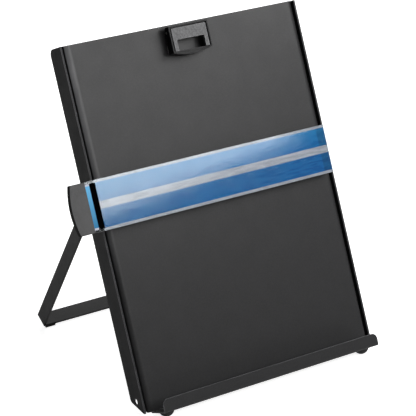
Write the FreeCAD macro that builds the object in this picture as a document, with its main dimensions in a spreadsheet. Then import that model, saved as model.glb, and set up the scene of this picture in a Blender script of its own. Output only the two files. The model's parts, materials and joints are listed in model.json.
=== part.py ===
import FreeCAD, Part
import math
import os
import Sketcher

# Desk copy holder: a steel back panel that leans on a folding easel, with a paper ledge at its foot,
# a spring clip at its head and a clear line guide that slides up and down its left rail.
#
# Every piece is drawn in the panel's own frame. x runs across the panel, p runs up it from its foot,
# and n stands out of its face towards the reader. The finished pieces are then leaned back and set
# on the desk, with the origin on the desk, midway across and midway front to back of everything.

Vector = FreeCAD.Vector
doc = FreeCAD.newDocument("copy_holder")

# Driving sizes in millimetres and degrees
SIZES = [
    ("panel_width", 230.0, "outside of one side rail to outside of the other"),
    ("panel_height", 300.0, "face panel from foot to head"),
    ("panel_sheet", 1.0, "steel of the face panel"),
    ("roll_radius", 5.0, "outside radius of the face panel's rolled sides"),
    ("groove_width", 1.5, "guide groove between a rolled side and its rail"),
    ("groove_depth", 5.2, "guide groove below the face"),
    ("seam_height", 1.5, "foot of the rolled side, welded to the rail"),
    ("head_flange", 10.0, "flange turned back at the panel's head"),
    ("head_flange_inset", 12.0, "end of the head flange from the outside of the rail"),
    ("rail_sheet", 1.4, "steel of the side rails"),
    ("rail_depth", 19.0, "side rails from the face backwards"),
    ("rail_drop", 0.3, "front edge of a rail below the face"),
    ("rail_foot_front", 2.0, "start of the rail's slanted foot behind the face"),
    ("rail_foot_rise", 10.0, "height that the rail's foot gains at the back"),
    ("rail_head_round", 5.5, "round of the rail's rear head corner"),
    ("rail_foot_round", 4.0, "round of the rail's foot corners"),
    ("hem_width", 4.0, "hem folded in along a rail's rear edge"),
    ("hem_inset", 14.0, "end of the hem short of the rail's ends"),
    ("rail_hole_radius", 2.5, "hole near each rail's foot"),
    ("rail_hole_height", 10.0, "hole above the panel's foot"),
    ("rail_hole_depth", 10.6, "hole behind the face"),
    ("ledge_width", 215.4, "paper ledge across"),
    ("ledge_sheet", 1.2, "steel of the ledge"),
    ("ledge_reach", 19.7, "outside of the ledge's lip in front of the face"),
    ("lip_height", 9.8, "lip above the shelf"),
    ("ledge_bend", 0.6, "inside radius of the ledge's front bend"),
    ("lip_round", 5.0, "round of the lip's upper corners"),
    ("ledge_weld", 12.0, "rear flange of the ledge up behind the face"),
    ("ledge_weld_inset", 2.0, "rear flange narrower than the ledge at each end"),
    ("foot_radius", 6.0, "front rubber foot"),
    ("foot_height", 5.0, "front rubber foot below the shelf"),
    ("foot_rim", 1.2, "straight side of the front rubber foot"),
    ("foot_spread", 98.5, "centre of a front foot from the middle"),
    ("foot_reach", 6.5, "centre of a front foot in front of the face"),
    ("foot_flat", 0.35, "part of a rubber foot that the desk flattens"),
    ("pivot_height", 180.0, "easel pivot above the panel's foot"),
    ("pivot_depth", 11.0, "easel pivot behind the face"),
    ("easel_length", 178.0, "pivot to the outside of the easel's crossbar"),
    ("easel_open", 55.6, "easel from folded to open, in degrees"),
    ("easel_strip", 12.5, "width of the easel's steel strip"),
    ("easel_thick", 2.0, "thickness of the easel's steel strip"),
    ("easel_bend", 2.5, "outside radius of the easel's bends"),
    ("easel_tail", 6.25, "easel beyond its pivot"),
    ("easel_tail_round", 5.5, "round of the easel's upper ends"),
    ("easel_foot_radius", 2.0, "rubber nub under the easel"),
    ("easel_foot_length", 9.0, "rubber nub along the crossbar"),
    ("easel_foot_drop", 1.6, "rubber nub below the strip's edge"),
    ("easel_foot_inset", 2.0, "rubber nub from the leg's outside"),
    ("stud_radius", 2.5, "shoulder of the pivot stud"),
    ("stud_base_radius", 3.8, "base of the pivot stud, welded to the rail"),
    ("stud_base", 1.9, "thickness of the stud's base"),
    ("washer_radius", 4.4, "friction washers"),
    ("washer_thick", 0.6, "friction washers"),
    ("cap_radius", 4.0, "push-on cap at the stud's end"),
    ("cap_thick", 1.8, "push-on cap"),
    ("cap_cover", 0.8, "push-on cap past the end of the stud"),
    ("pivot_fit", 0.06, "radial running fit of the easel on its studs"),
    ("face_gap", 0.1, "gap between flat faces that move past each other"),
    ("stop_radius", 1.5, "stop pin behind the open leg"),
    ("stop_reach", 2.4, "stop pin along the leg from the pivot"),
    ("stop_gap", 0.15, "open leg to its stop pin"),
    ("stop_past", 0.2, "stop pin past the leg's inner face"),
    ("clip_width", 38.0, "clip jaw across"),
    ("clip_inset", 1.5, "head of the clip below the panel's head"),
    ("clip_height", 22.5, "jaw from its head to the corners of its foot"),
    ("clip_bulge", 3.0, "sag of the jaw's curved foot"),
    ("clip_front", 9.0, "rim of the jaw in front of the face"),
    ("clip_wall", 1.3, "wall of the jaw"),
    ("clip_recess", 1.6, "floor of the jaw below its rim"),
    ("clip_floor", 1.0, "thickness of the jaw's floor"),
    ("clip_lift", 0.9, "rear edge of the jaw above the face"),
    ("clip_heel", 6.5, "length of the jaw's cut-away heel"),
    ("clip_heel_out", 3.6, "top of the cut-away heel above the face"),
    ("clip_round", 1.0, "round of the jaw's head corners"),
    ("window_width", 26.6, "finger window across"),
    ("window_lift", 1.2, "finger window above the corners of the jaw's foot"),
    ("window_height", 9.3, "finger window from edge to edge"),
    ("plate_gap", 1.1, "face plate to the jaw's rim, all round"),
    ("plate_thick", 1.3, "face plate of the clip"),
    ("plate_round", 1.0, "round of the face plate's corners"),
    ("pin_inset_head", 5.0, "clip pin below the clip's head"),
    ("pin_out", 3.6, "clip pin in front of the face"),
    ("pin_radius", 1.1, "clip pin"),
    ("pin_fit", 0.05, "radial running fit of the jaw on its pin"),
    ("pin_inset", 0.4, "end of the clip pin inside the jaw's flank"),
    ("base_width", 32.0, "clip base across"),
    ("base_height", 9.5, "clip base from edge to edge"),
    ("base_inset", 1.5, "head of the clip base below the clip's head"),
    ("base_thick", 1.5, "clip base"),
    ("ear_thick", 2.0, "ears of the clip base"),
    ("ear_height", 5.6, "ears above the face"),
    ("ear_half", 1.9, "half the height of an ear about its pin"),
    ("ear_round", 1.4, "round of an ear's corners"),
    ("boss_radius", 2.7, "screw bosses of the clip base"),
    ("boss_height", 2.3, "screw bosses above the face"),
    ("boss_spread", 9.5, "screw boss from the middle"),
    ("boss_inset", 3.2, "screw bosses below the clip pin"),
    ("screw_radius", 1.3, "clip screw's shank"),
    ("screw_head_radius", 2.8, "clip screw's head"),
    ("screw_head", 1.8, "height of the clip screw's head"),
    ("screw_bite", 2.1, "end of the clip screw above the face"),
    ("screw_slot", 0.8, "cross slot of a screw head"),
    ("screw_fit", 0.1, "radial clearance of a screw in its hole"),
    ("spring_radius", 1.95, "outside of the clip spring's coil"),
    ("spring_bore", 1.35, "inside of the clip spring's coil"),
    ("spring_length", 11.0, "clip spring along its pin"),
    ("pad_gap", 0.1, "rubber of the closed jaw above the face"),
    ("pad_inset", 0.3, "rubber inside the jaw's curved foot"),
    ("pad_strip", 1.1, "width of the rubber along the jaw's foot"),
    ("bar_left", 11.0, "end of the guide's clear front left of the rail"),
    ("bar_short", 5.0, "right end of the guide short of the rail's outside"),
    ("bar_foot", 150.5, "lower edge of the guide above the panel's foot"),
    ("bar_height", 41.0, "height of the guide"),
    ("bar_thick", 2.0, "clear strip of the guide"),
    ("bar_front", 8.5, "front of the guide above the face"),
    ("bar_corner", 0.8, "round of the guide's right corners"),
    ("tongue_length", 5.0, "guide's tongue under the thumb grip"),
    ("tongue_inset", 4.5, "tongue narrower than the guide at each edge"),
    ("film_thick", 0.2, "printed film behind the guide"),
    ("film_start", 1.5, "start of the main film left of the rail"),
    ("end_film_width", 3.9, "narrow film beside the thumb grip"),
    ("end_film_inset", 2.0, "narrow film short of the guide's edges"),
    ("grip_width", 13.4, "thumb grip from the guide to its flank's corners"),
    ("grip_bulge", 3.0, "swell of the grip's round flank"),
    ("grip_front", 9.2, "front of the thumb grip above the face"),
    ("grip_edge", 0.5, "softened edge of the thumb grip"),
    ("carriage_back", 2.8, "back of the carriage's plate above the face"),
    ("carriage_front", 5.2, "front of the carriage's plate above the face"),
    ("carriage_inset", 2.5, "carriage short of the guide's edges"),
    ("carriage_reach", 22.0, "carriage's plate left of the rail"),
    ("carriage_wall", 2.3, "carriage's outer leg"),
    ("carriage_hook", 1.6, "carriage's hook behind the rail"),
    ("slide_gap", 0.3, "carriage to the rail"),
    ("carriage_catch", 2.5, "hook's reach in past the rail's outside"),
    ("key_thick", 0.8, "carriage's key in the guide groove"),
    ("key_gap", 0.4, "key above the floor of the guide groove"),
    ("plate_end", 3.0, "carriage's plate in past the rail's outside"),
    ("land_gap", 0.2, "carriage's land to the films beside it"),
    ("grip_screw_radius", 1.1, "grip screw's shank"),
    ("grip_screw_head_radius", 2.2, "grip screw's head"),
    ("grip_screw_head", 1.3, "height of the grip screw's head"),
    ("grip_screw_end", 0.9, "end of the grip screw below the grip's front"),
    ("grip_screw_spread", 10.0, "grip screw from the middle of the guide"),
    ("grip_screw_inset", 9.0, "grip screw left of the clear front's end"),
    ("shoe_thick", 1.2, "felt brake shoe in the carriage's leg"),
    ("shoe_length", 16.0, "felt brake shoe along the rail"),
    ("shoe_depth", 9.0, "felt brake shoe from front to back"),
    ("shoe_place", 7.0, "middle of the brake shoe behind the face"),
    ("shoe_gap", 0.05, "brake shoe to the rail"),
    ("leaf_thick", 0.4, "leaf spring behind the brake shoe"),
]

sheet = doc.addObject("Spreadsheet::Sheet", "Sizes")
for row, (alias, value, meaning) in enumerate(SIZES, start=1):
    sheet.set(f"A{row}", meaning)
    sheet.set(f"B{row}", str(value))
    sheet.setAlias(f"B{row}", alias)
doc.recompute()


class Size:
    """A length with its present value and the sheet formula that it comes from."""

    def __init__(self, value, text):
        self.value = value
        self.text = text

    def _join(self, other, sign, value):
        return Size(value, f"({self.text} {sign} {other.text})")

    def __add__(self, other):
        other = size(other)
        return self._join(other, "+", self.value + other.value)

    def __sub__(self, other):
        other = size(other)
        return self._join(other, "-", self.value - other.value)

    def __mul__(self, other):
        other = size(other)
        return self._join(other, "*", self.value * other.value)

    def __truediv__(self, other):
        other = size(other)
        return self._join(other, "/", self.value / other.value)

    def __radd__(self, other):
        return size(other) + self

    def __rsub__(self, other):
        return size(other) - self

    def __rmul__(self, other):
        return size(other) * self

    def __neg__(self):
        return size(0) - self


def size(item):
    if isinstance(item, Size):
        return item
    return Size(float(item), f"{float(item):g}")


class Sheet:
    """Reads a cell of the sheet by its alias."""

    def __getattr__(self, alias):
        return Size(float(sheet.get(alias)), f"Sizes.{alias}")


s = Sheet()
ZERO = size(0)


def sagitta_radius(chord, rise):
    """Radius of the arc that rises this much above its chord."""
    return (chord * chord / 4 + rise * rise) / (2 * rise)


# Making pieces
PLANES = {"across": "XY_Plane", "face": "XZ_Plane", "side": "YZ_Plane"}
BODIES = {}


def new_body(label):
    body = doc.addObject("PartDesign::Body", label)
    body.Label = label
    BODIES[label] = body
    return body


def new_feature(body, kind, name):
    return body.newObject(f"PartDesign::{kind}", f"{body.Label}_{name}")


def new_sketch(body, view, name, level):
    """A sketch on the body's own plane: 'across' shows x and n, 'face' x and p, 'side' n and p."""
    sketch = body.newObject("Sketcher::SketchObject", f"{body.Label}_{name}_sketch")
    plane = [o for o in body.Origin.OriginFeatures if o.Role == PLANES[view]][0]
    sketch.AttachmentSupport = [(plane, "")]
    sketch.MapMode = "FlatFace"
    sketch.setExpression("AttachmentOffset.Base.z", size(level).text)
    return sketch


def root(item):
    """Square root of a size."""
    return Size(math.sqrt(item.value), f"sqrt({item.text})")


def flat(view, a, b):
    """Where a point of a view lies in its sketch: depths run backwards there."""
    if view == "face":
        return size(a), size(b)
    if view == "across":
        return size(a), -size(b)
    return -size(a), size(b)


def end_at(sketch, number, corner):
    """Which end of this line of the sketch lies at the corner."""
    return 1 if sketch.getPoint(number, 1).isEqual(corner, 1e-6) else 2


def bind(sketch, kind, places, length, name):
    """A constraint that keeps a length equal to its formula."""
    index = sketch.addConstraint(Sketcher.Constraint(kind, *places, length.value))
    sketch.renameConstraint(index, name)
    sketch.setExpression(f"Constraints.{name}", length.text)


def draw_outline(sketch, view, points):
    """A closed outline. A point with two more entries starts an arc: a point on it and its radius."""
    places = [flat(view, point[0], point[1]) for point in points]
    corners = [Vector(a.value, b.value, 0) for a, b in places]
    for number, point in enumerate(points):
        start = corners[number]
        end = corners[(number + 1) % len(points)]
        if len(point) == 2:
            sketch.addGeometry(Part.LineSegment(start, end))
        else:
            a, b = flat(view, *point[2])
            sketch.addGeometry(Part.Arc(start, Vector(a.value, b.value, 0), end))
    for number, point in enumerate(points):
        before = number - 1 if number else len(points) - 1
        end = end_at(sketch, number, corners[number])
        last = 3 - end if before == number else end_at(sketch, before, corners[number])
        sketch.addConstraint(Sketcher.Constraint("Coincident", before, last, number, end))
        a, b = places[number]
        bind(sketch, "DistanceX", (-1, 1, number, end), a, f"a{number}")
        bind(sketch, "DistanceY", (-1, 1, number, end), b, f"b{number}")
        if len(point) > 2:
            bind(sketch, "Radius", (number,), size(point[3]), f"radius{number}")


def draw_circle(sketch, view, centre, radius):
    a, b = flat(view, *centre)
    sketch.addGeometry(Part.Circle(Vector(a.value, b.value, 0), Vector(0, 0, 1), radius.value))
    bind(sketch, "DistanceX", (-1, 1, 0, 3), a, "a")
    bind(sketch, "DistanceY", (-1, 1, 0, 3), b, "b")
    bind(sketch, "Radius", (0,), radius, "radius")


def extrude(body, kind, name, sketch, length):
    """Adds or cuts a sketch's outline from its level upwards by this length."""
    before = body.Shape.Volume if kind == "Pocket" else 0
    feature = new_feature(body, kind, name)
    feature.Profile = sketch
    feature.Reversed = kind == "Pocket"
    feature.setExpression("Length", size(length).text)
    doc.recompute()
    if kind == "Pocket" and not feature.Shape.Volume < before - 1e-6:
        raise RuntimeError(f"{feature.Name} removes nothing")


def block(body, view, name, points, level, length):
    sketch = new_sketch(body, view, name, level)
    draw_outline(sketch, view, points)
    extrude(body, "Pad", name, sketch, length)


def trim(body, view, name, points, level, length):
    sketch = new_sketch(body, view, name, level)
    draw_outline(sketch, view, points)
    extrude(body, "Pocket", name, sketch, length)


def rod(body, view, name, centre, radius, level, length):
    sketch = new_sketch(body, view, name, level)
    draw_circle(sketch, view, centre, size(radius))
    extrude(body, "Pad", name, sketch, length)


def bore(body, view, name, centre, radius, level, length):
    sketch = new_sketch(body, view, name, level)
    draw_circle(sketch, view, centre, size(radius))
    extrude(body, "Pocket", name, sketch, length)


def seen(view, point):
    """A point of the piece in the lengths of a view."""
    return {"across": (point.x, -point.y), "face": (point.x, point.z), "side": (-point.y, point.z)}[view]


def fillet(body, name, edges, radius):
    base = body.Tip
    if not edges:
        raise RuntimeError(f"{body.Label}: no edge to round for {name}")
    feature = new_feature(body, "Fillet", name)
    feature.Base = (base, edges)
    feature.setExpression("Radius", size(radius).text)
    doc.recompute()


def round_corners(body, view, name, corners, radius):
    """Rounds the edges that a view shows as points at these corners."""
    spots = [(size(a).value, size(b).value) for a, b in corners]
    edges = []
    for number, edge in enumerate(body.Tip.Shape.Edges, start=1):
        ends = [seen(view, vertex.Point) for vertex in edge.Vertexes]
        for spot in spots:
            if len(ends) == 2 and all(math.dist(end, spot) < 1e-3 for end in ends):
                edges.append(f"Edge{number}")
    fillet(body, name, edges, radius)


def round_rim(body, name, depth, radius):
    """Rounds every edge that lies at this depth in front of the face."""
    edges = []
    for number, edge in enumerate(body.Tip.Shape.Edges, start=1):
        if all(abs(-vertex.Y - depth.value) < 1e-3 for vertex in edge.Vertexes):
            edges.append(f"Edge{number}")
    fillet(body, name, edges, radius)


def rectangle(a0, a1, b0, b1):
    return [(a0, b0), (a1, b0), (a1, b1), (a0, b1)]


def mirrored(points):
    """The same outline points on the left, in the order that closes the outline."""
    return [(-size(a), b) for a, b in reversed(points)]


def both_sides(make, body, name, shape, outer, inner, *radius):
    """The same solid at both sides of the panel, from one distance off the middle to a smaller one."""
    make(body, "side", f"{name}_left", shape, *radius, -outer, outer - inner)
    make(body, "side", f"{name}_right", shape, *radius, inner, outer - inner)


# Lines that several pieces share, as distances from the middle, from the foot or from the face
half = s.panel_width / 2
rail_in = half - s.rail_sheet
roll_out = rail_in - s.groove_width
roll_in = roll_out - s.panel_sheet
panel_back = -s.panel_sheet
hem_in = rail_in - s.rail_sheet
hem_front = s.hem_width - s.rail_depth
ledge_under = -s.ledge_sheet

clip_head = s.panel_height - s.clip_inset
clip_foot = clip_head - s.clip_height
window_foot = clip_foot + s.window_lift
window_head = window_foot + s.window_height
pin_height = clip_head - s.pin_inset_head
boss_place = pin_height - s.boss_inset

pivot = (-s.pivot_depth, s.pivot_height)
stud_step = rail_in - s.stud_base
leg_out = stud_step - s.washer_thick - s.face_gap
leg_in = leg_out - s.easel_thick
cap_step = leg_in - s.face_gap - s.washer_thick
cap_end = cap_step - s.cap_thick
strip_half = s.easel_strip / 2
strip_front = strip_half - s.pivot_depth
easel_foot = s.pivot_height - s.easel_length

guide_left = -half - s.bar_left
guide_right = half - s.bar_short
guide_head = s.bar_foot + s.bar_height
guide_middle = s.bar_foot + s.bar_height / 2
bar_back = s.bar_front - s.bar_thick
film_left = -half - s.film_start
end_film_right = guide_left + s.end_film_width


# How the holder stands: it leans back until its front feet and its easel's feet touch the desk
def standing():
    """Lean in degrees and height of the desk, both seen from the panel's own frame."""
    rise = s.foot_height.value - s.foot_rim.value
    front_radius = (s.foot_radius.value**2 + rise**2) / (2 * rise)
    front = (ledge_under.value - s.foot_height.value + front_radius, s.foot_reach.value)
    rear_radius = s.easel_foot_radius.value
    turn = math.radians(s.easel_open.value)
    along = -s.easel_length.value + s.easel_thick.value / 2
    out = strip_half.value + s.easel_foot_drop.value - rear_radius
    rear = (
        s.pivot_height.value + along * math.cos(turn) - out * math.sin(turn),
        -s.pivot_depth.value + along * math.sin(turn) + out * math.cos(turn),
    )
    rise = front[0] - rear[0]
    run = front[1] - rear[1]
    lean = math.atan2(run, rise) - math.acos((front_radius - rear_radius) / math.hypot(rise, run))
    desk = front[0] * math.cos(lean) + front[1] * math.sin(lean) - front_radius + s.foot_flat.value
    return math.degrees(lean), desk


lean, desk = standing()


def desk_line(depth, turn):
    """Height of the desk at this depth, in the frame of a piece turned this far about the pivot."""
    slant = math.radians(turn - lean)
    tilt = math.radians(lean)
    drop = desk - s.pivot_height.value * math.cos(tilt) + s.pivot_depth.value * math.sin(tilt)
    rise = (depth + s.pivot_depth.value) * math.sin(slant)
    return s.pivot_height.value + (drop + rise) / math.cos(slant)


def under_desk(start, end, turn):
    """Outline of the space under the desk between two depths."""
    deep = -30
    return [(start, deep), (end, deep), (end, desk_line(end, turn)), (start, desk_line(start, turn))]


# Back panel
def make_front_panel():
    body = new_body("front_panel")
    groove = -s.groove_depth
    edge = [
        (roll_out, 0),
        (roll_out, groove),
        (rail_in, groove),
        (rail_in, groove - s.seam_height),
        (rail_in - s.panel_sheet, groove - s.seam_height),
        (rail_in - s.panel_sheet, groove - s.panel_sheet),
        (roll_in, groove - s.panel_sheet),
        (roll_in, panel_back),
    ]
    block(body, "across", "sheet", edge + mirrored(edge), 0, s.panel_height)
    flange = half - s.head_flange_inset
    span = rectangle(-flange, flange, panel_back - s.head_flange, panel_back / 2)
    block(body, "across", "head_flange", span, s.panel_height - s.panel_sheet, s.panel_sheet)
    outer = [(-roll_out, 0), (roll_out, 0)]
    inner = [(-roll_in, panel_back), (roll_in, panel_back)]
    round_corners(body, "across", "roll_outside", outer, s.roll_radius)
    round_corners(body, "across", "roll_inside", inner, s.roll_radius - s.panel_sheet)
    slant = (s.rail_depth - s.rail_foot_front) / s.rail_foot_rise
    foot = [(slant - s.rail_foot_front, -1), (-s.rail_depth, s.rail_foot_rise), (-s.rail_depth, -1)]
    trim(body, "side", "foot", foot, -half, s.panel_width)
    for name, place in (("left", -s.boss_spread), ("right", s.boss_spread)):
        spot = (place, boss_place)
        hole = s.screw_radius + s.screw_fit
        bore(body, "face", f"hole_{name}", spot, hole, panel_back, s.panel_sheet)


def make_side_rail(name, outside, hem):
    """One side rail, with the levels at which its wall and its hem start."""
    body = new_body(name)
    outline = [
        (-s.rail_drop, 0),
        (-s.rail_drop, s.panel_height),
        (-s.rail_depth, s.panel_height),
        (-s.rail_depth, s.rail_foot_rise),
        (-s.rail_foot_front, 0),
    ]
    block(body, "side", "wall", outline, outside, s.rail_sheet)
    fold = rectangle(-s.rail_depth, hem_front, s.hem_inset, s.panel_height - s.hem_inset)
    block(body, "side", "hem", fold, hem, s.rail_sheet)
    hole = (-s.rail_hole_depth, s.rail_hole_height)
    bore(body, "side", "hole", hole, s.rail_hole_radius, outside, s.rail_sheet)
    round_corners(body, "side", "head", [outline[2]], s.rail_head_round)
    round_corners(body, "side", "foot", [outline[3], outline[4]], s.rail_foot_round)


# Paper ledge with its two rubber feet
def make_paper_ledge():
    body = new_body("paper_ledge")
    reach = s.ledge_reach
    weld_back = panel_back - s.ledge_sheet
    outline = [
        (weld_back, ledge_under),
        (reach, ledge_under),
        (reach, s.lip_height),
        (reach - s.ledge_sheet, s.lip_height),
        (reach - s.ledge_sheet, 0),
        (panel_back, 0),
        (panel_back, s.ledge_weld),
        (weld_back, s.ledge_weld),
    ]
    end = s.ledge_width / 2
    block(body, "side", "sheet", outline, -end, s.ledge_width)
    weld_end = end - s.ledge_weld_inset
    for name, near, far in (("left", -end, -weld_end), ("right", weld_end, end)):
        notch = rectangle(near, far, 0, s.ledge_weld)
        trim(body, "face", f"notch_{name}", notch, weld_back, s.ledge_sheet)
    round_corners(body, "side", "bend_inside", [(reach - s.ledge_sheet, 0)], s.ledge_bend)
    round_corners(body, "side", "bend_outside", [(reach, ledge_under)], s.ledge_bend + s.ledge_sheet)
    lip = [(-end, s.lip_height), (end, s.lip_height)]
    round_corners(body, "face", "lip_corners", lip, s.lip_round)


def make_front_feet():
    body = new_body("front_feet")
    rise = s.foot_height - s.foot_rim
    radius = sagitta_radius(s.foot_radius * 2, rise)
    rim = ledge_under - s.foot_rim
    tip = ledge_under - s.foot_height
    slope = math.asin(s.foot_radius.value / radius.value) / 2
    on_dome = (radius.value * math.sin(slope), tip.value + radius.value * (1 - math.cos(slope)))
    profile = [(0, ledge_under), (s.foot_radius, ledge_under), (s.foot_radius, rim, on_dome, radius), (0, tip)]
    for name, place in (("left", -s.foot_spread), ("right", s.foot_spread)):
        sketch = new_sketch(body, "face", name, s.foot_reach)
        sketch.setExpression("AttachmentOffset.Base.x", place.text)
        draw_outline(sketch, "face", profile)
        dome = new_feature(body, "Revolution", name)
        dome.Profile = sketch
        dome.ReferenceAxis = (sketch, ["V_Axis"])
        doc.recompute()
    near = s.foot_reach.value - 2 * s.foot_radius.value
    far = s.foot_reach.value + 2 * s.foot_radius.value
    wide = s.foot_spread + s.foot_radius * 2
    trim(body, "side", "flat", under_desk(near, far, 0), -wide, wide * 2)


# Folding easel and its pivots
def make_easel_frame():
    body = new_body("easel_frame")
    head = s.pivot_height + s.easel_tail
    bar = easel_foot + s.easel_thick
    outline = [
        (-leg_out, head),
        (-leg_out, easel_foot),
        (leg_out, easel_foot),
        (leg_out, head),
        (leg_in, head),
        (leg_in, bar),
        (-leg_in, bar),
        (-leg_in, head),
    ]
    block(body, "face", "strip", outline, strip_front - s.easel_strip, s.easel_strip)
    outer = [(-leg_out, easel_foot), (leg_out, easel_foot)]
    inner = [(-leg_in, bar), (leg_in, bar)]
    round_corners(body, "face", "bend_outside", outer, s.easel_bend)
    round_corners(body, "face", "bend_inside", inner, s.easel_bend - s.easel_thick)
    tail = [(strip_front, head), (strip_front - s.easel_strip, head)]
    round_corners(body, "side", "tail", tail, s.easel_tail_round)
    bore(body, "side", "pivot_holes", pivot, s.stud_radius + s.pivot_fit, -leg_out, leg_out * 2)


def make_easel_feet():
    body = new_body("easel_feet")
    radius = s.easel_foot_radius
    drop = s.easel_foot_drop
    reach = root(radius * drop * 2 - drop * drop)
    middle = easel_foot + s.easel_thick / 2
    crown = (strip_front + drop, middle)
    outline = [(strip_front, middle - reach, crown, radius), (strip_front, middle + reach)]
    outer = leg_out - s.easel_foot_inset
    both_sides(block, body, "nub", outline, outer, outer - s.easel_foot_length)
    near = strip_front.value - 4
    far = strip_front.value + 4
    space = under_desk(near, far, s.easel_open.value)
    trim(body, "side", "flat", space, -outer, outer * 2)


def make_pivots():
    studs = new_body("pivot_studs")
    stud_end = cap_end + s.cap_cover
    both_sides(rod, studs, "base", pivot, rail_in, stud_step, s.stud_base_radius)
    both_sides(rod, studs, "shoulder", pivot, stud_step, stud_end, s.stud_radius)
    washers = new_body("friction_washers")
    for name, outer in (("outer", stud_step), ("inner", leg_in - s.face_gap)):
        inner = outer - s.washer_thick
        both_sides(rod, washers, name, pivot, outer, inner, s.washer_radius)
        both_sides(bore, washers, f"{name}_bore", pivot, outer, inner, s.stud_radius + s.pivot_fit)
    caps = new_body("retaining_caps")
    both_sides(rod, caps, "cap", pivot, cap_step, cap_end, s.cap_radius)
    both_sides(bore, caps, "socket", pivot, cap_step, stud_end, s.stud_radius)
    pins = new_body("stop_pins")
    turn = math.radians(s.easel_open.value)
    along = s.stop_reach.value
    out = strip_half.value + s.stop_gap.value + s.stop_radius.value
    spot = (
        -s.pivot_depth.value - along * math.sin(turn) - out * math.cos(turn),
        s.pivot_height.value - along * math.cos(turn) + out * math.sin(turn),
    )
    both_sides(rod, pins, "pin", spot, hem_in, leg_in - s.stop_past, s.stop_radius)


# Paper clip at the head
def jaw_outline(inset):
    """The jaw's outline with its curved foot, drawn this far inside its edge."""
    side = s.clip_width / 2 - inset
    foot = clip_foot + inset
    sag = s.clip_bulge * side / (s.clip_width / 2)
    radius = sagitta_radius(side * 2, sag)
    head = clip_head - inset
    return [(-side, foot, (0, foot - sag), radius), (side, foot), (side, head), (-side, head)]


def make_clip_jaw():
    body = new_body("clip_jaw")
    front = s.clip_front
    floor_front = front - s.clip_recess
    floor_back = floor_front - s.clip_floor
    block(body, "face", "shell", jaw_outline(ZERO), s.clip_lift, front - s.clip_lift)
    trim(body, "face", "hollow", jaw_outline(s.clip_wall), s.clip_lift, floor_back - s.clip_lift)
    trim(body, "face", "recess", jaw_outline(s.clip_wall), floor_front, s.clip_recess)
    window = s.window_width / 2
    opening = rectangle(-window, window, window_foot, window_head)
    trim(body, "face", "window", opening, floor_back, s.clip_floor)
    heel = [(s.clip_lift, clip_head - s.clip_heel), (s.clip_heel_out, clip_head), (s.clip_lift, clip_head)]
    trim(body, "side", "heel", heel, -s.clip_width / 2, s.clip_width)
    pin_spot = (s.pin_out, pin_height)
    hole = s.pin_radius + s.pin_fit
    bore(body, "side", "pin_holes", pin_spot, hole, -s.clip_width / 2, s.clip_width)
    head = [(-s.clip_width / 2, clip_head), (s.clip_width / 2, clip_head)]
    round_corners(body, "face", "head_corners", head, s.clip_round)


def make_clip_face_plate():
    body = new_body("clip_face_plate")
    side = s.clip_width / 2 - s.clip_wall - s.plate_gap
    head = clip_head - s.clip_wall - s.plate_gap
    window = s.window_width / 2
    outline = [
        (-side, window_foot),
        (-window, window_foot),
        (-window, window_head),
        (window, window_head),
        (window, window_foot),
        (side, window_foot),
        (side, head),
        (-side, head),
    ]
    block(body, "face", "plate", outline, s.clip_front - s.clip_recess, s.plate_thick)
    corners = [outline[2], outline[3], outline[6], outline[7]]
    round_corners(body, "face", "corners", corners, s.plate_round)


def make_jaw_pad():
    body = new_body("jaw_pad")
    side = s.clip_width / 2 - s.clip_wall
    radius = sagitta_radius(s.clip_width, s.clip_bulge)
    sag = radius - root(radius * radius - side * side)
    foot = clip_foot - s.clip_bulge + sag + s.pad_inset
    head = foot + s.pad_strip
    outline = [
        (-side, foot, (0, foot - sag), radius),
        (side, foot),
        (side, head, (0, head - sag), radius),
        (-side, head),
    ]
    block(body, "face", "strip", outline, s.pad_gap, s.clip_lift - s.pad_gap)


def make_clip_base():
    body = new_body("clip_base")
    side = s.base_width / 2
    head = clip_head - s.base_inset
    plate = rectangle(-side, side, head - s.base_height, head)
    block(body, "face", "plate", plate, 0, s.base_thick)
    ear = rectangle(0, s.ear_height, pin_height - s.ear_half, pin_height + s.ear_half)
    both_sides(block, body, "ear", ear, side, side - s.ear_thick)
    pin_spot = (s.pin_out, pin_height)
    bore(body, "side", "pin_holes", pin_spot, s.pin_radius, -side, s.base_width)
    round_corners(body, "side", "ear_corners", [ear[1], ear[2]], s.ear_round)
    for name, place in (("left", -s.boss_spread), ("right", s.boss_spread)):
        spot = (place, boss_place)
        rod(body, "face", f"boss_{name}", spot, s.boss_radius, 0, s.boss_height)
        bore(body, "face", f"hole_{name}", spot, s.screw_radius, 0, s.boss_height)


def make_clip_pin():
    body = new_body("clip_pin")
    end = s.clip_width / 2 - s.pin_inset
    rod(body, "side", "pin", (s.pin_out, pin_height), s.pin_radius, -end, end * 2)


def make_clip_spring():
    body = new_body("clip_spring")
    spot = (s.pin_out, pin_height)
    rod(body, "side", "coil", spot, s.spring_radius, -s.spring_length / 2, s.spring_length)
    bore(body, "side", "bore", spot, s.spring_bore, -s.spring_length / 2, s.spring_length)


def screw(body, name, spot, seat, end, radius, head_radius, head):
    """A screw from behind, its head under the seat, with a cross slot."""
    across, up = spot
    rod(body, "face", f"{name}_head", spot, head_radius, seat - head, head)
    rod(body, "face", f"{name}_shank", spot, radius, seat, end - seat)
    arm = radius
    half_slot = s.screw_slot / 2
    lying = rectangle(across - arm, across + arm, up - half_slot, up + half_slot)
    standing_slot = rectangle(across - half_slot, across + half_slot, up - arm, up + arm)
    trim(body, "face", f"{name}_slot", lying, seat - head, s.screw_slot)
    trim(body, "face", f"{name}_cross", standing_slot, seat - head, s.screw_slot)


def make_clip_screws():
    body = new_body("clip_screws")
    for name, place in (("left", -s.boss_spread), ("right", s.boss_spread)):
        sizes = (s.screw_radius, s.screw_head_radius, s.screw_head)
        screw(body, name, (place, boss_place), panel_back, s.screw_bite, *sizes)


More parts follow.
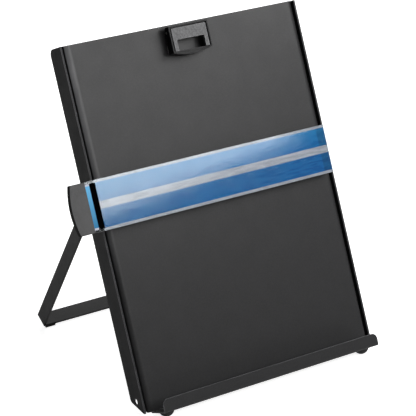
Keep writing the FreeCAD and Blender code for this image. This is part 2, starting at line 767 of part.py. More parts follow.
# Line guide
def make_slider_carriage():
    body = new_body("slider_carriage")
    back = s.carriage_back
    front = s.carriage_front
    leg_near = -half - s.slide_gap
    leg_far = leg_near - s.carriage_wall
    hook_near = -s.rail_depth - s.slide_gap
    hook_far = hook_near - s.carriage_hook
    hook_end = -half + s.carriage_catch
    plate_left = -half - s.carriage_reach
    plate_right = -half + s.plate_end
    key_middle = -(rail_in + roll_out) / 2
    key_left = key_middle - s.key_thick / 2
    key_right = key_middle + s.key_thick / 2
    key_foot = s.key_gap - s.groove_depth
    outline = [
        (plate_left, front),
        (plate_right, front),
        (plate_right, back),
        (key_right, back),
        (key_right, key_foot),
        (key_left, key_foot),
        (key_left, back),
        (leg_near, back),
        (leg_near, hook_near),
        (hook_end, hook_near),
        (hook_end, hook_far),
        (leg_far, hook_far),
        (leg_far, back),
        (plate_left, back),
    ]
    foot = s.bar_foot + s.carriage_inset
    head = guide_head - s.carriage_inset
    block(body, "across", "profile", outline, foot, head - foot)
    land = rectangle(end_film_right + s.land_gap, film_left - s.land_gap, foot, head)
    block(body, "face", "land", land, front, bar_back - front)
    seat = rectangle(
        guide_left - s.tongue_length,
        guide_left,
        s.bar_foot + s.tongue_inset,
        guide_head - s.tongue_inset,
    )
    block(body, "face", "seat", seat, front, bar_back - front)
    pocket = rectangle(
        -s.shoe_place - s.shoe_depth / 2,
        -s.shoe_place + s.shoe_depth / 2,
        guide_middle - s.shoe_length / 2,
        guide_middle + s.shoe_length / 2,
    )
    floor = -half - s.shoe_gap - s.shoe_thick - s.leaf_thick
    trim(body, "side", "shoe_pocket", pocket, floor, leg_near - floor)
    for name, place in grip_screw_places():
        hole = s.grip_screw_radius + s.screw_fit
        bore(body, "face", f"hole_{name}", place, hole, back, front - back)
    round_corners(body, "face", "plate_corners", [(plate_left, foot), (plate_left, head)], s.carriage_inset)


def grip_screw_places():
    across = guide_left - s.grip_screw_inset
    low = (across, guide_middle - s.grip_screw_spread)
    high = (across, guide_middle + s.grip_screw_spread)
    return [("low", low), ("high", high)]


def make_brake():
    shoe = new_body("brake_shoe")
    outline = rectangle(
        -s.shoe_place - s.shoe_depth / 2,
        -s.shoe_place + s.shoe_depth / 2,
        guide_middle - s.shoe_length / 2,
        guide_middle + s.shoe_length / 2,
    )
    shoe_back = -half - s.shoe_gap - s.shoe_thick
    block(shoe, "side", "felt", outline, shoe_back, s.shoe_thick)
    leaf = new_body("leaf_spring")
    block(leaf, "side", "strip", outline, shoe_back - s.leaf_thick, s.leaf_thick)


def make_thumb_grip():
    body = new_body("thumb_grip")
    flank = guide_left - s.grip_width
    radius = sagitta_radius(s.bar_height, s.grip_bulge)
    outline = [
        (guide_left, s.bar_foot),
        (guide_left, guide_head),
        (flank, guide_head, (flank - s.grip_bulge, guide_middle), radius),
        (flank, s.bar_foot),
    ]
    block(body, "face", "plate", outline, s.carriage_front, s.grip_front - s.carriage_front)
    seat = rectangle(
        guide_left - s.tongue_length,
        guide_left,
        s.bar_foot + s.tongue_inset,
        guide_head - s.tongue_inset,
    )
    trim(body, "face", "seat", seat, s.carriage_front, s.bar_front - s.carriage_front)
    depth = s.grip_front - s.grip_screw_end - s.carriage_front
    for name, place in grip_screw_places():
        bore(body, "face", f"hole_{name}", place, s.grip_screw_radius, s.carriage_front, depth)
    round_rim(body, "edge", s.grip_front, s.grip_edge)


def make_grip_screws():
    body = new_body("grip_screws")
    sizes = (s.grip_screw_radius, s.grip_screw_head_radius, s.grip_screw_head)
    for name, place in grip_screw_places():
        screw(body, name, place, s.carriage_back, s.grip_front - s.grip_screw_end, *sizes)


def make_guide_bar():
    body = new_body("guide_bar")
    tongue = guide_left - s.tongue_length
    tongue_foot = s.bar_foot + s.tongue_inset
    tongue_head = guide_head - s.tongue_inset
    outline = [
        (guide_right, s.bar_foot),
        (guide_right, guide_head),
        (guide_left, guide_head),
        (guide_left, tongue_head),
        (tongue, tongue_head),
        (tongue, tongue_foot),
        (guide_left, tongue_foot),
        (guide_left, s.bar_foot),
    ]
    block(body, "face", "strip", outline, bar_back, s.bar_thick)
    round_corners(body, "face", "corners", outline[:2], s.bar_corner)


def make_films():
    film = new_body("guide_film")
    behind = bar_back - s.film_thick
    main = rectangle(film_left, guide_right, s.bar_foot, guide_head)
    block(film, "face", "strip", main, behind, s.film_thick)
    round_corners(film, "face", "corners", [main[1], main[2]], s.bar_corner)
    end = new_body("end_film")
    inset = s.end_film_inset
    patch = rectangle(guide_left, end_film_right, s.bar_foot + inset, guide_head - inset)
    block(end, "face", "strip", patch, behind, s.film_thick)


make_front_panel()
make_side_rail("side_rail_left", -half, -rail_in)
make_side_rail("side_rail_right", rail_in, hem_in)
make_paper_ledge()
make_front_feet()
make_easel_frame()
make_easel_feet()
make_pivots()
make_clip_jaw()
make_clip_face_plate()
make_jaw_pad()
make_clip_base()
make_clip_pin()
make_clip_spring()
make_clip_screws()
make_slider_carriage()
make_brake()
make_thumb_grip()
make_grip_screws()
make_guide_bar()
make_films()

# Open the easel about its pivot, lean everything back and set it on the desk
upright = Vector(0, 0, 0)
along_x = Vector(1, 0, 0)
pivot_point = Vector(0, s.pivot_depth.value, s.pivot_height.value)
leaning = FreeCAD.Placement(upright, FreeCAD.Rotation(along_x, -lean))
opening_turn = FreeCAD.Rotation(along_x, s.easel_open.value)
opened = FreeCAD.Placement(upright, opening_turn, pivot_point)


def leaned(label):
    """Where a piece goes before the holder is centred on the desk."""
    return leaning * opened if label.startswith("easel") else leaning


bounds = FreeCAD.BoundBox()
for label, body in BODIES.items():
    body.Placement = leaned(label)
doc.recompute()
for body in BODIES.values():
    bounds.add(body.Shape.optimalBoundingBox(False, False))
centred = FreeCAD.Placement(Vector(-bounds.Center.x, -bounds.Center.y, -bounds.ZMin), FreeCAD.Rotation())
for label, body in BODIES.items():
    body.Placement = centred * leaned(label)
doc.recompute()

# Every object must have been worked out without an error before anything is written
for item in doc.Objects:
    if "Invalid" in item.State or "Error" in item.State:
        raise RuntimeError(f"{item.Name} is {item.State}")
for label, body in BODIES.items():
    if body.Shape.isNull() or not body.Shape.isValid():
        raise RuntimeError(f"{label} has no sound shape")

os.makedirs("parts", exist_ok=True)
for label, body in BODIES.items():
    body.Shape.exportStep(f"parts/{label}.step")
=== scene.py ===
import json
import math

import bmesh
import bpy
from mathutils import Matrix, Vector


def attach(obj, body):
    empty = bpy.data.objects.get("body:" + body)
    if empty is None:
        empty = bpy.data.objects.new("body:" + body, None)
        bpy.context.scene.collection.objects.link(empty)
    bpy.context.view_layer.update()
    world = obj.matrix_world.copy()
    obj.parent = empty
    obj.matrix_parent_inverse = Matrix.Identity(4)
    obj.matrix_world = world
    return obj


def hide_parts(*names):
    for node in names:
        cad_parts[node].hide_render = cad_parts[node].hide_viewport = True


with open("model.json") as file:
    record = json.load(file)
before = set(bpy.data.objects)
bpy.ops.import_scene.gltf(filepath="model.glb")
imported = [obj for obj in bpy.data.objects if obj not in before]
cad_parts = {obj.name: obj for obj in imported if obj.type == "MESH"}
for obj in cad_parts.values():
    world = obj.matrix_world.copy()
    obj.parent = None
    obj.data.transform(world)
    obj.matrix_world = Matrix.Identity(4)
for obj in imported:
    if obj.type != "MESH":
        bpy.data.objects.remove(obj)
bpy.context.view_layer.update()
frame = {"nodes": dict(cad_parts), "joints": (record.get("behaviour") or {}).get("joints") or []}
MM = 0.001

# The panel's own directions: up the panel, out of its face to the reader, and across it to the right
joints = {joint["name"]: joint for joint in frame["joints"]}
UP = Vector(joints["guide_slide"]["axis"]).normalized()
OUT = Vector((0, -UP.z, UP.y))
ACROSS = Vector((1, 0, 0))


def reach(node, way, start=Vector()):
    """How far a node's corners reach along a direction from a point: least and most, in millimetres."""
    places = [(corner.co - start).dot(way) / MM for corner in frame["nodes"][node].data.vertices]
    return min(places), max(places)


# The middle of the panel's foot, on its face, which all places below are measured from
FOOT = ACROSS * sum(reach("front_panel", ACROSS)) / 2 * MM
FOOT += UP * reach("front_panel", UP)[0] * MM
FOOT += OUT * reach("front_panel", OUT)[1] * MM

PANEL_LEFT, PANEL_RIGHT = reach("front_panel", ACROSS, FOOT)
FILM_LEFT = reach("guide_film", ACROSS, FOOT)[0]
FILM_FOOT, FILM_HEAD = reach("guide_film", UP, FOOT)
END_FILM_RIGHT = reach("end_film", ACROSS, FOOT)[1]
END_FILM_FOOT, END_FILM_HEAD = reach("end_film", UP, FOOT)
GUIDE_FRONT = reach("guide_bar", OUT, FOOT)[1]

# White ink on the two films
FILM_MIDDLE = (FILM_FOOT + FILM_HEAD) / 2
FILM_MARGIN = 2.2
FILM_STRIPE = 6.2
END_FILM_MARGIN = 1.6

# Each band of white ink: its middle up the panel, and half its height. The bands at the foot and the head of
# a film lie half outside it.
FILM_BANDS = [
    (FILM_MIDDLE, FILM_STRIPE / 2),
    (FILM_FOOT, FILM_MARGIN),
    (FILM_HEAD, FILM_MARGIN),
]
END_FILM_BANDS = [
    (END_FILM_FOOT, END_FILM_MARGIN),
    (END_FILM_HEAD, END_FILM_MARGIN),
]

# Painted shade on the blue print, over the dark groove at the right
GROOVE_INSET = 11.8
GROOVE_SHADE_LEFT = PANEL_RIGHT - GROOVE_INSET
GROOVE_SHADE_SOFT = 0.6

# The painted highlight along the left rolled edge: its start and width, and where it fades and peaks
ROLL_SHEEN_INSET = 2.5
ROLL_SHEEN_LEFT = PANEL_LEFT + ROLL_SHEEN_INSET
ROLL_SHEEN_SOFT = 0.2
ROLL_SHEEN_WIDTH = 5.5
ROLL_SHEEN_FADED = 110
ROLL_SHEEN_PEAK = 280

# How far a printed edge fades to either side
INK_SOFT = 0.05


def place(x, up, out):
    """A point given in the panel's own millimetres, from the middle of its foot."""
    return FOOT + ACROSS * x * MM + UP * up * MM + OUT * out * MM


# Materials
def paint(code):
    """An sRGB hex colour as the linear colour that the shaders take."""
    parts = [int(code[i:i + 2], 16) / 255 for i in (1, 3, 5)]
    return [c / 12.92 if c <= 0.04045 else ((c + 0.055) / 1.055) ** 2.4 for c in parts] + [1]


def every(size_mm):
    """The scale of a pattern whose features are about this wide."""
    return 1 / (size_mm * MM)


def add(tree, kind, inputs=(), output=None, **settings):
    """Adds a node with its settings and gives its output, the first one if none is named. The inputs go by
    name or in their order, and each is a value or the output that feeds it."""
    node = tree.nodes.new("ShaderNode" + kind)
    for name, value in settings.items():
        setattr(node, name, value)
    sockets = [socket for socket in node.inputs if not socket.is_unavailable]
    if isinstance(inputs, dict):
        sockets = [next(socket for socket in sockets if socket.name == name) for name in inputs]
        inputs = inputs.values()
    for socket, value in zip(sockets, inputs):
        if isinstance(value, bpy.types.NodeSocket):
            tree.links.new(value, socket)
        else:
            socket.default_value = value
    if output:
        return node.outputs[output]
    return next((socket for socket in node.outputs if not socket.is_unavailable), None)


def new_material(name):
    """An empty material, its node tree, and the place in the object that its patterns follow."""
    material = bpy.data.materials.new(name)
    material.use_nodes = True
    tree = material.node_tree
    tree.nodes.clear()
    return material, tree, add(tree, "TexCoord", output="Object")


def shaded(material, settings):
    """The material with its shader, whose inputs go by name."""
    tree = material.node_tree
    add(tree, "OutputMaterial", [add(tree, "BsdfPrincipled", settings)])
    return material


def mottle(tree, spot, size_mm, low, high):
    """Smooth patches about this wide, whose value wanders between two numbers."""
    patches = add(tree, "TexNoise", [spot, every(size_mm), 3])
    return add(tree, "MapRange", [patches, 0.3, 0.7, low, high])


def two_tone(tree, spot, size_mm, first, second, detail=3):
    """Smooth patches about this wide, which drift from one colour to the other."""
    patches = add(tree, "TexNoise", [spot, every(size_mm), detail])
    return add(tree, "Mix", [patches, paint(first), paint(second)], data_type="RGBA")


def ripples(tree, spot, size_mm, depth_mm, detail=3):
    """Small bumps of this width and depth."""
    height = add(tree, "TexNoise", [spot, every(size_mm), detail])
    return add(tree, "Bump", {"Height": height, "Distance": depth_mm * MM})


def painted_edge_sheen(tree, spot, width_mm, patch_mm, low, high):
    """How much paler the sharp edges are painted, as a painted highlight, in uneven patches: 0 on the flats,
    up to 1 on an edge.
    """
    smooth = add(tree, "Bevel", {"Radius": width_mm * MM}, samples=6)
    plain = add(tree, "NewGeometry", output="Normal")
    turned = add(tree, "VectorMath", [smooth, plain], operation="DOT_PRODUCT")
    edge = add(tree, "MapRange", [turned, 0.995, 0.8, 0, 1])
    return add(tree, "Math", [edge, mottle(tree, spot, patch_mm, low, high)], operation="MULTIPLY")


def panel_places(tree, spot):
    """Millimetres up the panel from its foot, and millimetres to the right of its middle."""
    away = add(tree, "VectorMath", [spot, FOOT], operation="SUBTRACT")
    up = add(tree, "VectorMath", [away, UP], operation="DOT_PRODUCT")
    across = add(tree, "SeparateXYZ", [away], output="X")
    return [add(tree, "Math", [way, 1 / MM], operation="MULTIPLY") for way in (up, across)]


def within(tree, way, middle, half):
    """1 where the place lies less than half from the middle, fading to 0 at its soft edges."""
    gap = add(tree, "Math", [way, middle], operation="SUBTRACT")
    gap = add(tree, "Math", [gap], operation="ABSOLUTE")
    return add(tree, "MapRange", [gap, half + INK_SOFT, half - INK_SOFT, 0, 1])


def white_ink(tree, up, bands):
    """1 inside any of the bands."""
    mask = 0
    for middle, half in bands:
        mask = add(tree, "Math", [mask, within(tree, up, middle, half)], operation="MAXIMUM")
    return mask


def left_roll_sheen(tree, spot):
    """A painted highlight: a pale band along the left rolled edge. It fades into the face, and it is
    strongest near the head."""
    up, across = panel_places(tree, spot)
    band = add(tree, "MapRange", [across, ROLL_SHEEN_LEFT, ROLL_SHEEN_LEFT + ROLL_SHEEN_WIDTH, 1, 0])
    start = add(tree, "MapRange", [across, ROLL_SHEEN_LEFT, ROLL_SHEEN_LEFT + ROLL_SHEEN_SOFT, 0, 1])
    height = add(tree, "MapRange", [up, ROLL_SHEEN_FADED, ROLL_SHEEN_PEAK, 0.05, 1])
    for part in (mottle(tree, spot, 25, 0.6, 0.8), start, height):
        band = add(tree, "Math", [band, part], operation="MULTIPLY")
    return band


def powder_coat(name, sheen_mm, sheen_colour, shine=0.28, roll_sheen=False):
    """Black powder coat, baked on sheet steel. A faint orange peel breaks up every highlight, so the black
    looks satin and turns grey where a lamp grazes it. Its sharp edges are painted paler, as a painted
    highlight, and when asked a painted highlight band runs along the left rolled edge. Its specks are
    drawn coarser than real ones, so that they show."""
    material, tree, spot = new_material(name)
    base = two_tone(tree, spot, 70, "#131314", "#181819", detail=4)
    specks = add(tree, "TexNoise", [spot, every(1.1), 2])
    specks = add(tree, "MapRange", [specks, 0.35, 0.75, 0, 0.35])
    base = add(tree, "Mix", [specks, base, paint("#2a2a2c")], data_type="RGBA")
    # Painted highlight: the sharp edges are painted paler
    edge_sheen = painted_edge_sheen(tree, spot, sheen_mm, 9, 0.4, 1)
    # A painted highlight band along the left rolled edge
    if roll_sheen:
        edge_sheen = add(tree, "Math", [edge_sheen, left_roll_sheen(tree, spot)], operation="MAXIMUM")
    return shaded(material, {
        "Base Color": add(tree, "Mix", [edge_sheen, base, paint(sheen_colour)], data_type="RGBA"),
        "Roughness": mottle(tree, spot, 14, 0.56, 0.64),
        "IOR": 1.33,
        "Coat Weight": shine,
        "Coat Roughness": 0.27,
        "Normal": ripples(tree, spot, 1.6, 0.02, detail=2),
    })


def clip_abs():
    """Black ABS from a spark-eroded mould. Its fine even grain scatters the light, so that the flanks look
    very black, and its sharp edges are painted paler, as a painted highlight. The grain is drawn coarser
    than the real one, so that it shows."""
    material, tree, spot = new_material("spark_eroded_abs")
    base = two_tone(tree, spot, 12, "#070708", "#0e0e0f")
    # Painted highlight: the sharp edges are painted paler
    edge_sheen = painted_edge_sheen(tree, spot, 0.45, 4, 0.5, 0.9)
    return shaded(material, {
        "Base Color": add(tree, "Mix", [edge_sheen, base, paint("#838386")], data_type="RGBA"),
        "Roughness": mottle(tree, spot, 3, 0.44, 0.56),
        "IOR": 1.3,
        "Normal": ripples(tree, spot, 0.5, 0.02, detail=2),
    })


def grip_abs():
    """The thumb grip's ABS, moulded with a coarse matt grain on its front, so that it looks paler than the
    carriage. Its flanks carry painted shade: they are painted black, with less shine, and draw a dark line
    round it, and its sharp edges are painted paler, as a painted highlight. The grain is drawn coarser than
    the real one, so that it shows."""
    material, tree, spot = new_material("grained_abs")
    grain = add(tree, "TexNoise", [spot, every(0.8), 3])
    tone = add(tree, "MapRange", [grain, 0.3, 0.7, 0, 1])
    base = add(tree, "Mix", [tone, paint("#353535"), paint("#424243")], data_type="RGBA")
    # Painted highlight: the sharp edges are painted paler
    edge_sheen = painted_edge_sheen(tree, spot, 0.5, 6, 0.2, 0.7)
    base = add(tree, "Mix", [edge_sheen, base, paint("#5c5c5e")], data_type="RGBA")
    # Painted shade: the flanks, which turn away from the face, are painted black and given less shine
    facing = add(tree, "TexCoord", output="Normal")
    front = add(tree, "VectorMath", [facing, OUT], operation="DOT_PRODUCT")
    front = add(tree, "MapRange", [front, 0.5, 0.9, 0, 1])
    return shaded(material, {
        "Base Color": add(tree, "Mix", [front, paint("#030303"), base], data_type="RGBA"),
        "Specular IOR Level": add(tree, "MapRange", [front, 0, 1, 0.1, 0.5]),
        "Roughness": mottle(tree, spot, 5, 0.5, 0.62),
        "Normal": add(tree, "Bump", {"Height": grain, "Distance": 0.04 * MM}),
    })


def plate_abs():
    """The clip's face plate, dark grey ABS moulded with a leather-like texture that speckles the light. The
    texture is drawn coarser than the real one, so that it shows."""
    material, tree, spot = new_material("textured_abs")
    grain = add(tree, "TexNoise", [spot, every(1.4), 3])
    tone = add(tree, "MapRange", [grain, 0.3, 0.7, 0, 1])
    base = add(tree, "Mix", [tone, paint("#303032"), paint("#545456")], data_type="RGBA")
    # Painted highlight: the sharp edges are painted paler
    edge_sheen = painted_edge_sheen(tree, spot, 0.5, 4, 0.4, 1)
    return shaded(material, {
        "Base Color": add(tree, "Mix", [edge_sheen, base, paint("#a2a2a4")], data_type="RGBA"),
        "Roughness": mottle(tree, spot, 3, 0.42, 0.56),
        "Normal": add(tree, "Bump", {"Height": grain, "Distance": 0.05 * MM}),
    })


def foot_rubber():
    """Moulded black rubber: dull, with a little dust that greys it where it meets the desk."""
    material, tree, spot = new_material("moulded_rubber")
    base = two_tone(tree, spot, 3, "#101010", "#1c1c1c")
    height = add(tree, "SeparateXYZ", [spot], output="Z")
    dust = add(tree, "MapRange", [height, 0, 2.5 * MM, 0.5, 0])
    specks = add(tree, "TexNoise", [spot, every(2), 3])
    dust = add(tree, "Math", [dust, specks], operation="MULTIPLY")
    return shaded(material, {
        "Base Color": add(tree, "Mix", [dust, base, paint("#5f5b55")], data_type="RGBA"),
        "Roughness": mottle(tree, spot, 1.5, 0.6, 0.8),
        "Normal": ripples(tree, spot, 0.6, 0.03),
    })


def zinc_plate():
    """Steel with bright zinc plate: a hard shine with small dull patches, and a faint bloom that drifts
    from blue to yellow."""
    material, tree, spot = new_material("zinc_plated_steel")
    return shaded(material, {
        "Base Color": two_tone(tree, spot, 4, "#b9bdc4", "#c9c5b4"),
        "Metallic": 1,
        "Roughness": mottle(tree, spot, 1, 0.24, 0.42),
        "Normal": ripples(tree, spot, 0.3, 0.01, detail=2),
    })


def washer_nylon():
    """Natural nylon, stamped from sheet: milky, because light spreads just under its skin."""
    material, tree, spot = new_material("stamped_nylon")
    return shaded(material, {
        "Base Color": two_tone(tree, spot, 3, "#d9d5c8", "#c8c3b2"),
        "Roughness": mottle(tree, spot, 1, 0.4, 0.55),
        "Subsurface Weight": 0.2,
        "Subsurface Scale": 0.5 * MM,
        "Normal": ripples(tree, spot, 0.5, 0.01),
    })


def wool_felt():
    """Pressed grey wool felt: no shine, and a tangle of fibres, drawn far thicker than real ones so that
    they show."""
    material, tree, spot = new_material("pressed_wool_felt")
    along = add(tree, "Mapping", {"Vector": spot, "Scale": (1, 3, 1)})
    fibre = add(tree, "TexNoise", [along, every(0.6), 4, 0.7])
    return shaded(material, {
        "Base Color": add(tree, "Mix", [fibre, paint("#4c4a48"), paint("#7b7874")], data_type="RGBA"),
        "Roughness": 0.95,
        "Sheen Weight": 0.4,
        "Normal": add(tree, "Bump", {"Height": fibre, "Distance": 0.2 * MM}),
    })


def printed_film(name, bands):
    """Polyester film, screen printed on its back. The blue has faint streaks from the squeegee and a soft
    shine of its own colour, and is painted paler toward the head. At the right, over the dark groove, it is
    painted darker, as painted shade. The bands are in white ink, which takes a slight metallic shine."""
    material, tree, spot = new_material(name)
    up, across = panel_places(tree, spot)
    along = add(tree, "Mapping", {"Vector": spot, "Scale": (0.12, 1, 1)})
    streak = add(tree, "TexNoise", [along, every(2), 4, 0.6])
    blue = add(tree, "Mix", [streak, paint("#094a8c"), paint("#125697")], data_type="RGBA")
    cloud = mottle(tree, spot, 30, 0, 0.5)
    blue = add(tree, "Mix", [cloud, blue, paint("#1860a3")], data_type="RGBA")
    # The blue is painted paler toward the head
    head_pale = add(tree, "MapRange", [up, FILM_MIDDLE, FILM_HEAD, 0, 0.55])
    blue = add(tree, "Mix", [head_pale, blue, paint("#2a88be")], data_type="RGBA")
    # Painted shade: the blue is darkened at the right, over the dark groove
    groove_shade = add(tree, "MapRange", [across, GROOVE_SHADE_LEFT, GROOVE_SHADE_LEFT + GROOVE_SHADE_SOFT, 0, 0.5])
    blue = add(tree, "Mix", [groove_shade, blue, paint("#07305a")], data_type="RGBA")
    white = add(tree, "Mix", [streak, paint("#a39ea3"), paint("#b2adb0")], data_type="RGBA")
    ink = white_ink(tree, up, bands)
    return shaded(material, {
        "Base Color": add(tree, "Mix", [ink, blue, white], data_type="RGBA"),
        "Metallic": add(tree, "MapRange", [ink, 0, 1, 0, 0.12]),
        "Specular Tint": add(tree, "Mix", [ink, paint("#4cf0ff"), paint("#fffaf6")], data_type="RGBA"),
        "Roughness": add(tree, "MapRange", [streak, 0.3, 0.7, 0.22, 0.34]),
        "Normal": ripples(tree, spot, 40, 0.05, detail=1),
    })


def polished_faces(tree, spot, back):
    """A mirror over clear see-through, mixed by how steeply one looks at the face, from either side."""
    mirror = add(tree, "BsdfPrincipled", {
        "Base Color": two_tone(tree, spot, 25, "#f2f6fa", "#ffffff"),
        "Metallic": 1,
        "Roughness": mottle(tree, spot, 18, 0.06, 0.11),
        "Normal": ripples(tree, spot, 45, 0.02, detail=1),
    })
    clear = add(tree, "BsdfTransparent", {"Color": paint("#f4f8fa")})
    density = add(tree, "MapRange", [back, 0, 1, 1.49, 1 / 1.49])
    return add(tree, "MixShader", [add(tree, "Fresnel", [density]), clear, mirror])


def sawn_edges(tree, faces):
    """Frosts the long edges, so that they collect light and frame the strip with a pale line."""
    facing = add(tree, "TexCoord", output="Normal")
    along = add(tree, "VectorMath", [facing, UP], operation="DOT_PRODUCT")
    along = add(tree, "Math", [along], operation="ABSOLUTE")
    edge = add(tree, "MapRange", [along, 0.3, 0.7, 0, 1])
    frost = {"Base Color": paint("#dcd9d8"), "Roughness": 0.5, "Alpha": 0.55}
    return add(tree, "MixShader", [edge, faces, add(tree, "BsdfPrincipled", frost)])


def clear_acrylic():
    """Cast acrylic with polished faces and sawn edges: it mirrors the lamps over the print. A matt black
    band is painted on its face over the gap between the two films, as painted shade, and the end print lies
    on its face too."""
    material, tree, spot = new_material("cast_acrylic")
    up, across = panel_places(tree, spot)
    back = add(tree, "NewGeometry", output="Backfacing")
    surface = sawn_edges(tree, polished_faces(tree, spot, back))

    # Only the front of the strip carries the painted shade and the print, over the height of the end film
    front = add(tree, "Math", [1, back], operation="SUBTRACT")
    tall = within(tree, up, FILM_MIDDLE, (END_FILM_HEAD - END_FILM_FOOT) / 2)
    tall = add(tree, "Math", [tall, front], operation="MULTIPLY")

    # Painted shade: a matt black band without shine over the gap between the films, standing in for the
    # carriage in shade behind it
    slot_middle = (FILM_LEFT + END_FILM_RIGHT) / 2
    slot = within(tree, across, slot_middle, (FILM_LEFT - END_FILM_RIGHT) / 2)
    slot = add(tree, "Math", [slot, tall], operation="MULTIPLY")
    mask = {"Base Color": paint("#030304"), "Roughness": 0.9, "Specular IOR Level": 0}
    surface = add(tree, "MixShader", [slot, surface, add(tree, "BsdfPrincipled", mask)])

    # The end print is painted paler toward the head
    rise = add(tree, "MapRange", [up, FILM_FOOT, FILM_HEAD, 0, 1])
    blue = add(tree, "Mix", [rise, paint("#005f8c"), paint("#5aa9d8")], data_type="RGBA")
    ink = white_ink(tree, up, END_FILM_BANDS)
    label = add(tree, "BsdfPrincipled", {
        "Base Color": add(tree, "Mix", [ink, blue, paint("#b8b5bf")], data_type="RGBA"),
        "Roughness": 0.3,
        "Coat Weight": 0.1,
        "Coat Roughness": 0.1,
        "Specular Tint": paint("#a0d8ff"),
    })
    end = add(tree, "Math", [across, END_FILM_RIGHT], operation="LESS_THAN")
    end = add(tree, "Math", [end, tall], operation="MULTIPLY")
    add(tree, "OutputMaterial", [add(tree, "MixShader", [end, surface, label])])
    return material


# Each coat gets its sharp edges painted paler, as a painted highlight; the rails' wide pale edges stand in
# for their lit inner faces
rail_coat = powder_coat("baked_powder_coat_rails", 0.9, "#6c6c70", shine=0.05)
black = clip_abs()
rubber = foot_rubber()
zinc = zinc_plate()
FINISHES = {
    # The face's coat has a painted highlight band along its left rolled edge
    "front_panel": powder_coat("baked_powder_coat_face", 0.3, "#98989a", roll_sheen=True),
    "side_rail_left": rail_coat,
    "side_rail_right": rail_coat,
    "paper_ledge": powder_coat("baked_powder_coat_ledge", 0.9, "#6c6c70"),
    "easel_frame": powder_coat("baked_powder_coat_easel", 0.4, "#3e3e42"),
    "front_feet": rubber,
    "easel_feet": rubber,
    "jaw_pad": rubber,
    "clip_base": black,
    "clip_jaw": black,
    "slider_carriage": black,
    "thumb_grip": grip_abs(),
    "clip_face_plate": plate_abs(),
    "friction_washers": washer_nylon(),
    "clip_pin": zinc,
    "clip_screws": zinc,
    "grip_screws": zinc,
    "pivot_studs": zinc,
    "retaining_caps": zinc,
    "stop_pins": zinc,
    "leaf_spring": zinc,
    "brake_shoe": wool_felt(),
    "guide_bar": clear_acrylic(),
    "guide_film": printed_film("screen_printed_polyester", FILM_BANDS),
    "end_film": printed_film("screen_printed_polyester_end", END_FILM_BANDS),
}
for node, material in FINISHES.items():
    mesh = frame["nodes"][node].data
    mesh.materials.clear()
    mesh.materials.append(material)

# Softened edges, in millimetres, on the pieces whose solids have sharp ones
SOFT_EDGES = {
    "side_rail_left": 0.3,
    "side_rail_right": 0.3,
    "paper_ledge": 0.3,
    "easel_frame": 0.3,
    "clip_jaw": 0.25,
    "clip_face_plate": 0.2,
    "slider_carriage": 0.25,
    "retaining_caps": 0.3,
}
SHARP_DEGREES = 40
SAME_CORNER = 0.002
for node, width in SOFT_EDGES.items():
    piece = frame["nodes"][node]
    weld = piece.modifiers.new("weld", "WELD")
    weld.merge_threshold = SAME_CORNER * MM
    soften = piece.modifiers.new("soften", "BEVEL")
    soften.width = width * MM
    soften.segments = 2
    soften.limit_method = "ANGLE"
    soften.angle_limit = math.radians(SHARP_DEGREES)
    soften.harden_normals = True
    even = piece.modifiers.new("even", "WEIGHTED_NORMAL")
    even.keep_sharp = True

# The films are drawn in by a hair, so that they and the clear strip never share a face
HAIR = 0.02
for node in ("guide_film", "end_film"):
    shrink = frame["nodes"][node].modifiers.new("hair", "DISPLACE")
    shrink.strength = -HAIR * MM
    shrink.mid_level = 0


def finished(mesh, name, material):
    """An object whose place is in its mesh, from a mesh in the making."""
    data = bpy.data.meshes.new(name)
    mesh.to_mesh(data)
    mesh.free()
    for face in data.polygons:
        face.use_smooth = True
    data.materials.append(material)
    piece = bpy.data.objects.new(name, data)
    bpy.context.collection.objects.link(piece)
    return piece


# The clip's torsion spring, wound from wire round the pin
COIL_RADIUS = 1.6
WIRE_RADIUS = 0.3
WIRE_SIDES = 10
TURN_WIDTH = 0.7
TURNS = 14
STEPS_PER_TURN = 20


def wound_spring():
    """A ring of the wire's section, spun round the pin while it moves along it."""
    pin = Vector(joints["clip_open"]["pos_m"])
    length = TURN_WIDTH * MM * TURNS
    steps = TURNS * STEPS_PER_TURN
    section = (
        Matrix.Translation(pin - ACROSS * length / 2)
        @ Matrix.Rotation(math.radians(90), 4, "Y")
        @ Matrix.Translation((COIL_RADIUS * MM, 0, 0))
        @ Matrix.Rotation(math.radians(90), 4, "X")
    )
    mesh = bmesh.new()
    bmesh.ops.create_circle(mesh, segments=WIRE_SIDES, radius=WIRE_RADIUS * MM, matrix=section)
    bmesh.ops.spin(
        mesh,
        geom=mesh.verts[:] + mesh.edges[:],
        axis=ACROSS,
        cent=pin,
        dvec=ACROSS * length / steps,
        angle=math.tau * TURNS,
        steps=steps,
    )
    bmesh.ops.holes_fill(mesh, edges=mesh.edges)
    bmesh.ops.recalc_face_normals(mesh, faces=mesh.faces)
    return finished(mesh, "clip_coil", zinc)


coil = wound_spring()
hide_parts("clip_spring")
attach(coil, "panel")


# Studio
FLOOR_RADIUS = 6

# Each lamp's azimuth and elevation in degrees, its distance, width and height in metres, and its watts. The
# key is mirrored in the guide as the pale veil at its left.
LAMPS = {
    "key": (20.4, 34.54, 1.6, 1.02, 0.75, 12.2),
    "left_strip": (-50, 25, 1.6, 1.2, 0.45, 0.8),
    "right_top": (60, 40, 1.0, 0.4, 0.4, 7),
    "back": (160, 25, 1.8, 0.8, 0.8, 14),
    "back_top": (110, 62, 1.4, 0.7, 0.7, 4.5),
}

# The camera, from a fit to the photographed edges, with its turns in degrees
PHOTO_SIDE = 416
FOCAL_PIXELS = 1973.3
SENSOR_WIDTH = 36
CAMERA_SPOT = (-0.8346, -1.2220, 0.8243)
CAMERA_YAW = -34.66
CAMERA_PITCH = -25.21
CAMERA_ROLL = 1.82


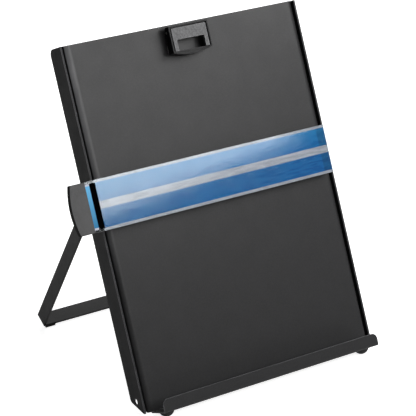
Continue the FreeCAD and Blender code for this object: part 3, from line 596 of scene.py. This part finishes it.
def background(tree, mirrored_share):
    """1 for what the camera sees, straight or through the clear strip, and a share of it in mirrors."""
    straight = add(tree, "LightPath", output="Is Camera Ray")
    through = add(tree, "LightPath", output="Is Transmission Ray")
    mirrored = add(tree, "LightPath", output="Is Glossy Ray")
    seen = add(tree, "Math", [straight, through], operation="MAXIMUM")
    mirrored = add(tree, "Math", [mirrored, mirrored_share], operation="MULTIPLY")
    return add(tree, "Math", [seen, mirrored], operation="MAXIMUM")


def studio_floor():
    """Matt white paper. It glows to the camera, just short of white, so that its shadows still show."""
    material, tree, spot = new_material("matt_paper")
    paper = add(tree, "BsdfPrincipled", {
        "Base Color": two_tone(tree, spot, 400, "#e6e6e6", "#eaeaea", detail=2),
        "Roughness": 0.9,
    })
    glow = add(tree, "Math", [background(tree, 0.1), 0.85], operation="MULTIPLY")
    glow = add(tree, "Emission", {"Strength": glow})
    add(tree, "OutputMaterial", [add(tree, "AddShader", [paper, glow])])
    mesh = bmesh.new()
    bmesh.ops.create_circle(mesh, cap_ends=True, segments=64, radius=FLOOR_RADIUS)
    floor = finished(mesh, "floor", material)


def studio_world():
    """A dim white room whose walls look white."""
    world = bpy.data.worlds.new("studio")
    world.use_nodes = True
    tree = world.node_tree
    tree.nodes.clear()
    room = add(tree, "Background", {"Color": paint("#ffffff"), "Strength": 0.05})
    walls = add(tree, "Background", {"Color": paint("#ffffff"), "Strength": 1})
    add(tree, "OutputWorld", [add(tree, "MixShader", [background(tree, 0.05), room, walls])])
    bpy.context.scene.world = world


def soft_box(name, azimuth, elevation, distance, width, height, power):
    """A lamp that faces the guide. Azimuth 0 is in front of the holder and grows to the right."""
    aim = place(0, FILM_MIDDLE, GUIDE_FRONT)
    turn = math.radians(azimuth)
    rise = math.radians(elevation)
    way = Vector((math.sin(turn) * math.cos(rise), -math.cos(turn) * math.cos(rise), math.sin(rise)))
    light = bpy.data.lights.new(name, "AREA")
    light.shape = "RECTANGLE"
    light.size = width
    light.size_y = height
    light.energy = power
    item = bpy.data.objects.new(name, light)
    bpy.context.collection.objects.link(item)
    item.location = aim + way * distance
    item.rotation_euler = (-way).to_track_quat("-Z", "Y").to_euler()


def photo_camera():
    """The camera, where the photograph was taken from."""
    data = bpy.data.cameras.new("camera")
    data.sensor_width = SENSOR_WIDTH
    data.lens = FOCAL_PIXELS / PHOTO_SIDE * SENSOR_WIDTH
    camera = bpy.data.objects.new("camera", data)
    bpy.context.collection.objects.link(camera)
    camera.matrix_world = (
        Matrix.Translation(CAMERA_SPOT)
        @ Matrix.Rotation(math.radians(CAMERA_YAW), 4, "Z")
        @ Matrix.Rotation(math.radians(90 + CAMERA_PITCH), 4, "X")
        @ Matrix.Rotation(math.radians(CAMERA_ROLL), 4, "Z")
    )
    bpy.context.scene.camera = camera


studio_floor()
studio_world()
for name, values in LAMPS.items():
    soft_box(name, *values)
photo_camera()
bpy.context.scene.view_settings.view_transform = "Standard"
